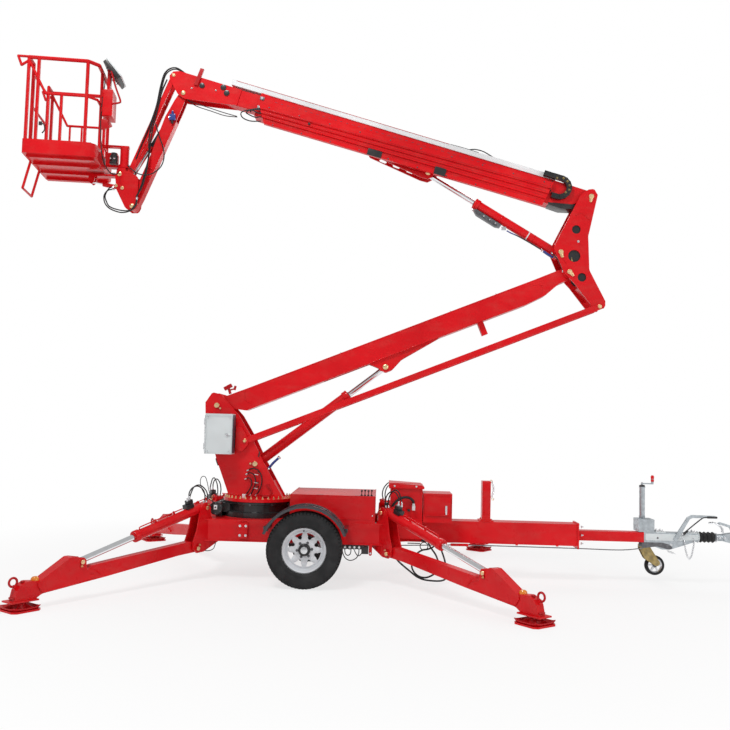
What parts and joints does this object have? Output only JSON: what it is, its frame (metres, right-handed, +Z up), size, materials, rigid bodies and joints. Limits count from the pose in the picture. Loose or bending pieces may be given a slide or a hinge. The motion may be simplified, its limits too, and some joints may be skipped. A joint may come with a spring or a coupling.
{
  "type": "towable boom lift",
  "caption": "Articulated boom lift on a towed two-wheel trailer: levelled riser, telescopic upper boom, jib with a guard-railed basket, and folding hydraulic outriggers, shown set up.",
  "frame": {"origin": "on the ground, under the centre of the bounding box", "axes": "+X towards the towing coupling, +Y towards the left side as it is towed, +Z up"},
  "size_m": [7.4621, 4.2358, 5.225],
  "materials": {
    "red_paint": "glossy red paint",
    "black_paint": "black paint",
    "zinc": "galvanised",
    "chrome": "hard chrome",
    "rubber": "black rubber",
    "tyre": "road tyre",
    "rim_paint": "light silver paint",
    "box_paint": "light grey paint",
    "white_tray": "white paint",
    "brass": "yellow passivated zinc"
  },
  "bodies": {
    "chassis": {"chassis_frame": "red_paint", "drawbar": "red_paint", "slew_base": "black_paint", "hydraulic_cabinet": "red_paint", "battery_box": "red_paint", "side_box": "red_paint", "axle": "black_paint", "fender_right": "black_paint", "fender_left": "black_paint", "coupling_housing": "zinc", "bellows": "rubber", "coupler_head": "zinc", "jack_tube": "zinc"},
    "wheel_right": {"tyre_right": "tyre", "rim_right": "rim_paint"},
    "wheel_left": {"tyre_left": "tyre", "rim_left": "rim_paint"},
    "turret": {"turret": "red_paint", "control_box": "box_paint"},
    "upper_boom": {"upper_boom": "red_paint", "cable_tray": "white_tray", "cable_carrier": "black_paint"},
    "basket": {"basket_floor": "red_paint", "basket_rails": "red_paint", "platform_box": "red_paint"},
    "battery_lid": {"battery_lid": "red_paint"},
    "side_box_door": {"side_box_door": "red_paint"},
    "jack_stem": {"jack_stem": "brass"},
    "jockey_wheel": {"jockey_wheel": "rubber"},
    "control_box_door": {"control_box_door": "box_paint"},
    "lower_boom": {"lower_boom": "red_paint"},
    "lower_barrel": {"lower_barrel": "red_paint"},
    "lower_rod": {"lower_rod": "chrome"},
    "level_link": {"level_link": "red_paint"},
    "riser": {"riser": "red_paint"},
    "upper_barrel": {"upper_barrel": "red_paint"},
    "upper_rod": {"upper_rod": "chrome"},
    "fly_boom": {"fly_boom": "red_paint"},
    "jib": {"jib": "red_paint"},
    "jib_link": {"jib_link": "red_paint"},
    "jib_barrel": {"jib_barrel": "black_paint"},
    "jib_rod": {"jib_rod": "chrome"},
    "jib_bracket": {"jib_bracket": "red_paint"},
    "level_barrel": {"level_barrel": "red_paint"},
    "level_rod": {"level_rod": "chrome"},
    "rotator": {"rotator": "red_paint"},
    "basket_gate": {"basket_gate": "red_paint"},
    "leg_rear_right": {"leg_rear_right": "red_paint"},
    "leg_barrel_rear_right": {"leg_barrel_rear_right": "red_paint"},
    "leg_rod_rear_right": {"leg_rod_rear_right": "chrome"},
    "leg_rear_left": {"leg_rear_left": "red_paint"},
    "leg_barrel_rear_left": {"leg_barrel_rear_left": "red_paint"},
    "leg_rod_rear_left": {"leg_rod_rear_left": "chrome"},
    "leg_front_right": {"leg_front_right": "red_paint"},
    "leg_barrel_front_right": {"leg_barrel_front_right": "red_paint"},
    "leg_rod_front_right": {"leg_rod_front_right": "chrome"},
    "leg_front_left": {"leg_front_left": "red_paint"},
    "leg_barrel_front_left": {"leg_barrel_front_left": "red_paint"},
    "leg_rod_front_left": {"leg_rod_front_left": "chrome"}
  },
  "joints": [
    {"name": "wheel_right_spin", "type": "hinge", "parent": "chassis", "child": "wheel_right", "pos_m": [-0.6134, -0.752, 0.35], "axis": [0, 1, 0], "continuous": true},
    {"name": "wheel_left_spin", "type": "hinge", "parent": "chassis", "child": "wheel_left", "pos_m": [-0.6134, 0.752, 0.35], "axis": [0, 1, 0], "continuous": true},
    {"name": "jack_extend", "type": "slide", "parent": "chassis", "child": "jack_stem", "axis": [0, 0, 1], "range_m": [-0.078, 0.075]},
    {"name": "jockey_spin", "type": "hinge", "parent": "jack_stem", "child": "jockey_wheel", "pos_m": [2.8836, 0.104, 0.178], "axis": [0, 1, 0], "continuous": true},
    {"name": "battery_lid_open", "type": "hinge", "parent": "chassis", "child": "battery_lid", "pos_m": [0.1556, 0, 0.8953], "axis": [0, -1, 0], "range_deg": [0, 90]},
    {"name": "side_box_door_open", "type": "hinge", "parent": "chassis", "child": "side_box_door", "pos_m": [0.4926, -0.3, 0.7], "axis": [0, 0, -1], "range_deg": [0, 110]},
    {"name": "leg_rear_right_fold", "type": "hinge", "parent": "chassis", "child": "leg_rear_right", "pos_m": [-1.7034, -0.52, 0.303], "axis": [-0.8141, 0.5807, 0], "range_deg": [-5, 80]},
    {"name": "leg_barrel_rear_right_swing", "type": "hinge", "parent": "chassis", "child": "leg_barrel_rear_right", "pos_m": [-1.64533, -0.43859, 0.676], "axis": [-0.8141, 0.5807, 0], "range_deg": [-5.42, 85.3]},
    {"name": "leg_rod_rear_right_slide", "type": "slide", "parent": "leg_barrel_rear_right", "child": "leg_rod_rear_right", "axis": [-0.5613, -0.7869, -0.2563], "range_m": [-0.4864, 0.0309]},
    {"name": "leg_rear_left_fold", "type": "hinge", "parent": "chassis", "child": "leg_rear_left", "pos_m": [-1.7034, 0.52, 0.303], "axis": [0.8141, 0.5807, 0], "range_deg": [-5, 80]},
    {"name": "leg_barrel_rear_left_swing", "type": "hinge", "parent": "chassis", "child": "leg_barrel_rear_left", "pos_m": [-1.64533, 0.43859, 0.676], "axis": [0.8141, 0.5807, 0], "range_deg": [-5.42, 85.3]},
    {"name": "leg_rod_rear_left_slide", "type": "slide", "parent": "leg_barrel_rear_left", "child": "leg_rod_rear_left", "axis": [-0.5613, 0.7869, -0.2563], "range_m": [-0.4864, 0.0309]},
    {"name": "leg_front_right_fold", "type": "hinge", "parent": "chassis", "child": "leg_front_right", "pos_m": [0.2066, -0.52, 0.303], "axis": [-0.788, -0.6157, 0], "range_deg": [-5, 80]},
    {"name": "leg_barrel_front_right_swing", "type": "hinge", "parent": "chassis", "child": "leg_barrel_front_right", "pos_m": [0.14503, -0.4412, 0.676], "axis": [-0.788, -0.6157, 0], "range_deg": [-5.42, 85.3]},
    {"name": "leg_rod_front_right_slide", "type": "slide", "parent": "leg_barrel_front_right", "child": "leg_rod_front_right", "axis": [0.5951, -0.7617, -0.2563], "range_m": [-0.4864, 0.0309]},
    {"name": "leg_front_left_fold", "type": "hinge", "parent": "chassis", "child": "leg_front_left", "pos_m": [0.2066, 0.52, 0.303], "axis": [0.788, -0.6157, 0], "range_deg": [-5, 80]},
    {"name": "leg_barrel_front_left_swing", "type": "hinge", "parent": "chassis", "child": "leg_barrel_front_left", "pos_m": [0.14503, 0.4412, 0.676], "axis": [0.788, -0.6157, 0], "range_deg": [-5.42, 85.3]},
    {"name": "leg_rod_front_left_slide", "type": "slide", "parent": "leg_barrel_front_left", "child": "leg_rod_front_left", "axis": [0.5951, 0.7617, -0.2563], "range_m": [-0.4864, 0.0309]},
    {"name": "slew", "type": "hinge", "parent": "chassis", "child": "turret", "pos_m": [-1.1604, 0, 0.724], "axis": [0, 0, 1], "range_deg": [-180, 180]},
    {"name": "control_box_door_open", "type": "hinge", "parent": "turret", "child": "control_box_door", "pos_m": [-1.6654, -0.33, 1.38], "axis": [0, 0, -1], "range_deg": [0, 110]},
    {"name": "lower_boom_lift", "type": "hinge", "parent": "turret", "child": "lower_boom", "pos_m": [-1.5934, 0, 1.665], "axis": [0, -1, 0], "range_deg": [-30, 50]},
    {"name": "level_link_swing", "type": "hinge", "parent": "turret", "child": "level_link", "pos_m": [-1.2954, 0, 1.316], "axis": [0, -1, 0], "range_deg": [-30.1, 50.1]},
    {"name": "riser_level", "type": "hinge", "parent": "lower_boom", "child": "riser", "pos_m": [1.92591, 0, 3.09834], "axis": [0, -1, 0], "range_deg": [-50.1, 30.1]},
    {"name": "lower_barrel_swing", "type": "hinge", "parent": "turret", "child": "lower_barrel", "pos_m": [-1.1884, 0, 1.088], "axis": [0, -1, 0], "range_deg": [-25.9, 43.1]},
    {"name": "lower_rod_slide", "type": "slide", "parent": "lower_barrel", "child": "lower_rod", "axis": [0.7861, 0, 0.6182], "range_m": [-0.3265, 0.5438]},
    {"name": "upper_boom_lift", "type": "hinge", "parent": "riser", "child": "upper_boom", "pos_m": [2.13691, 0, 3.87334], "axis": [0, 1, 0], "range_deg": [-12, 50]},
    {"name": "upper_barrel_swing", "type": "hinge", "parent": "riser", "child": "upper_barrel", "pos_m": [1.83591, 0, 3.29834], "axis": [0, 1, 0], "range_deg": [-10.3, 42.6]},
    {"name": "upper_rod_slide", "type": "slide", "parent": "upper_barrel", "child": "upper_rod", "axis": [-0.8581, 0, 0.5135], "range_m": [-0.1204, 0.4999]},
    {"name": "fly_boom_extend", "type": "slide", "parent": "upper_boom", "child": "fly_boom", "axis": [-0.962, 0, 0.2731], "range_m": [0, 2.5]},
    {"name": "jib_lift", "type": "hinge", "parent": "fly_boom", "child": "jib", "pos_m": [-2.0764, 0, 4.899], "axis": [0, -1, 0], "range_deg": [-80, 5]},
    {"name": "jib_link_swing", "type": "hinge", "parent": "fly_boom", "child": "jib_link", "pos_m": [-2.1844, 0, 5.087], "axis": [0, -1, 0], "range_deg": [-80.1, 5.1]},
    {"name": "jib_barrel_swing", "type": "hinge", "parent": "fly_boom", "child": "jib_barrel", "pos_m": [-2.0764, 0, 4.899], "axis": [0, -1, 0], "range_deg": [-78.18, 4.98]},
    {"name": "jib_rod_slide", "type": "slide", "parent": "jib_barrel", "child": "jib_rod", "axis": [-0.5052, 0, -0.863], "range_m": [-0.0177, 0.2756]},
    {"name": "jib_bracket_level", "type": "hinge", "parent": "jib", "child": "jib_bracket", "pos_m": [-2.56226, 0, 3.69644], "axis": [0, -1, 0], "range_deg": [-5.1, 80.1]},
    {"name": "basket_level", "type": "hinge", "parent": "jib_bracket", "child": "rotator", "pos_m": [-2.7054, 0, 4.03], "axis": [0, 1, 0], "range_deg": [-50.1, 12.1]},
    {"name": "level_barrel_swing", "type": "hinge", "parent": "jib_bracket", "child": "level_barrel", "pos_m": [-2.7354, 0, 3.906], "axis": [0, 1, 0], "range_deg": [-60.4, 14.57]},
    {"name": "level_rod_slide", "type": "slide", "parent": "level_barrel", "child": "level_rod", "axis": [-0.9796, 0, 0.2009], "range_m": [-0.0921, 0.0225]},
    {"name": "basket_rotate", "type": "hinge", "parent": "rotator", "child": "basket", "pos_m": [-2.6834, 0, 4.1], "axis": [0, 0, 1], "range_deg": [-78, 62]},
    {"name": "basket_gate_open", "type": "hinge", "parent": "basket", "child": "basket_gate", "pos_m": [-3.5876, 0.14659, 4.572], "axis": [0, 0, 1], "range_deg": [0, 85]}
  ],
  "couplings": [
    {"joint": "leg_barrel_rear_right_swing", "follows": "leg_rear_right_fold", "ratio": 1.065},
    {"joint": "leg_rod_rear_right_slide", "follows": "leg_rear_right_fold", "m_per_rad": -0.348},
    {"joint": "leg_barrel_rear_left_swing", "follows": "leg_rear_left_fold", "ratio": 1.065},
    {"joint": "leg_rod_rear_left_slide", "follows": "leg_rear_left_fold", "m_per_rad": -0.348},
    {"joint": "leg_barrel_front_right_swing", "follows": "leg_front_right_fold", "ratio": 1.065},
    {"joint": "leg_rod_front_right_slide", "follows": "leg_front_right_fold", "m_per_rad": -0.348},
    {"joint": "leg_barrel_front_left_swing", "follows": "leg_front_left_fold", "ratio": 1.065},
    {"joint": "leg_rod_front_left_slide", "follows": "leg_front_left_fold", "m_per_rad": -0.348},
    {"joint": "level_link_swing", "follows": "lower_boom_lift", "ratio": 1},
    {"joint": "riser_level", "follows": "lower_boom_lift", "ratio": -1},
    {"joint": "lower_barrel_swing", "follows": "lower_boom_lift", "ratio": 0.86},
    {"joint": "lower_rod_slide", "follows": "lower_boom_lift", "m_per_rad": 0.6226},
    {"joint": "upper_barrel_swing", "follows": "upper_boom_lift", "ratio": 0.85},
    {"joint": "upper_rod_slide", "follows": "upper_boom_lift", "m_per_rad": 0.5723},
    {"joint": "jib_link_swing", "follows": "jib_lift", "ratio": 1},
    {"joint": "jib_barrel_swing", "follows": "jib_lift", "ratio": 0.976},
    {"joint": "jib_rod_slide", "follows": "jib_lift", "m_per_rad": -0.197},
    {"joint": "jib_bracket_level", "follows": "jib_lift", "ratio": -1},
    {"joint": "basket_level", "follows": "upper_boom_lift", "ratio": -1},
    {"joint": "level_barrel_swing", "follows": "upper_boom_lift", "ratio": -1.206},
    {"joint": "level_rod_slide", "follows": "upper_boom_lift", "m_per_rad": -0.105}
  ]
}
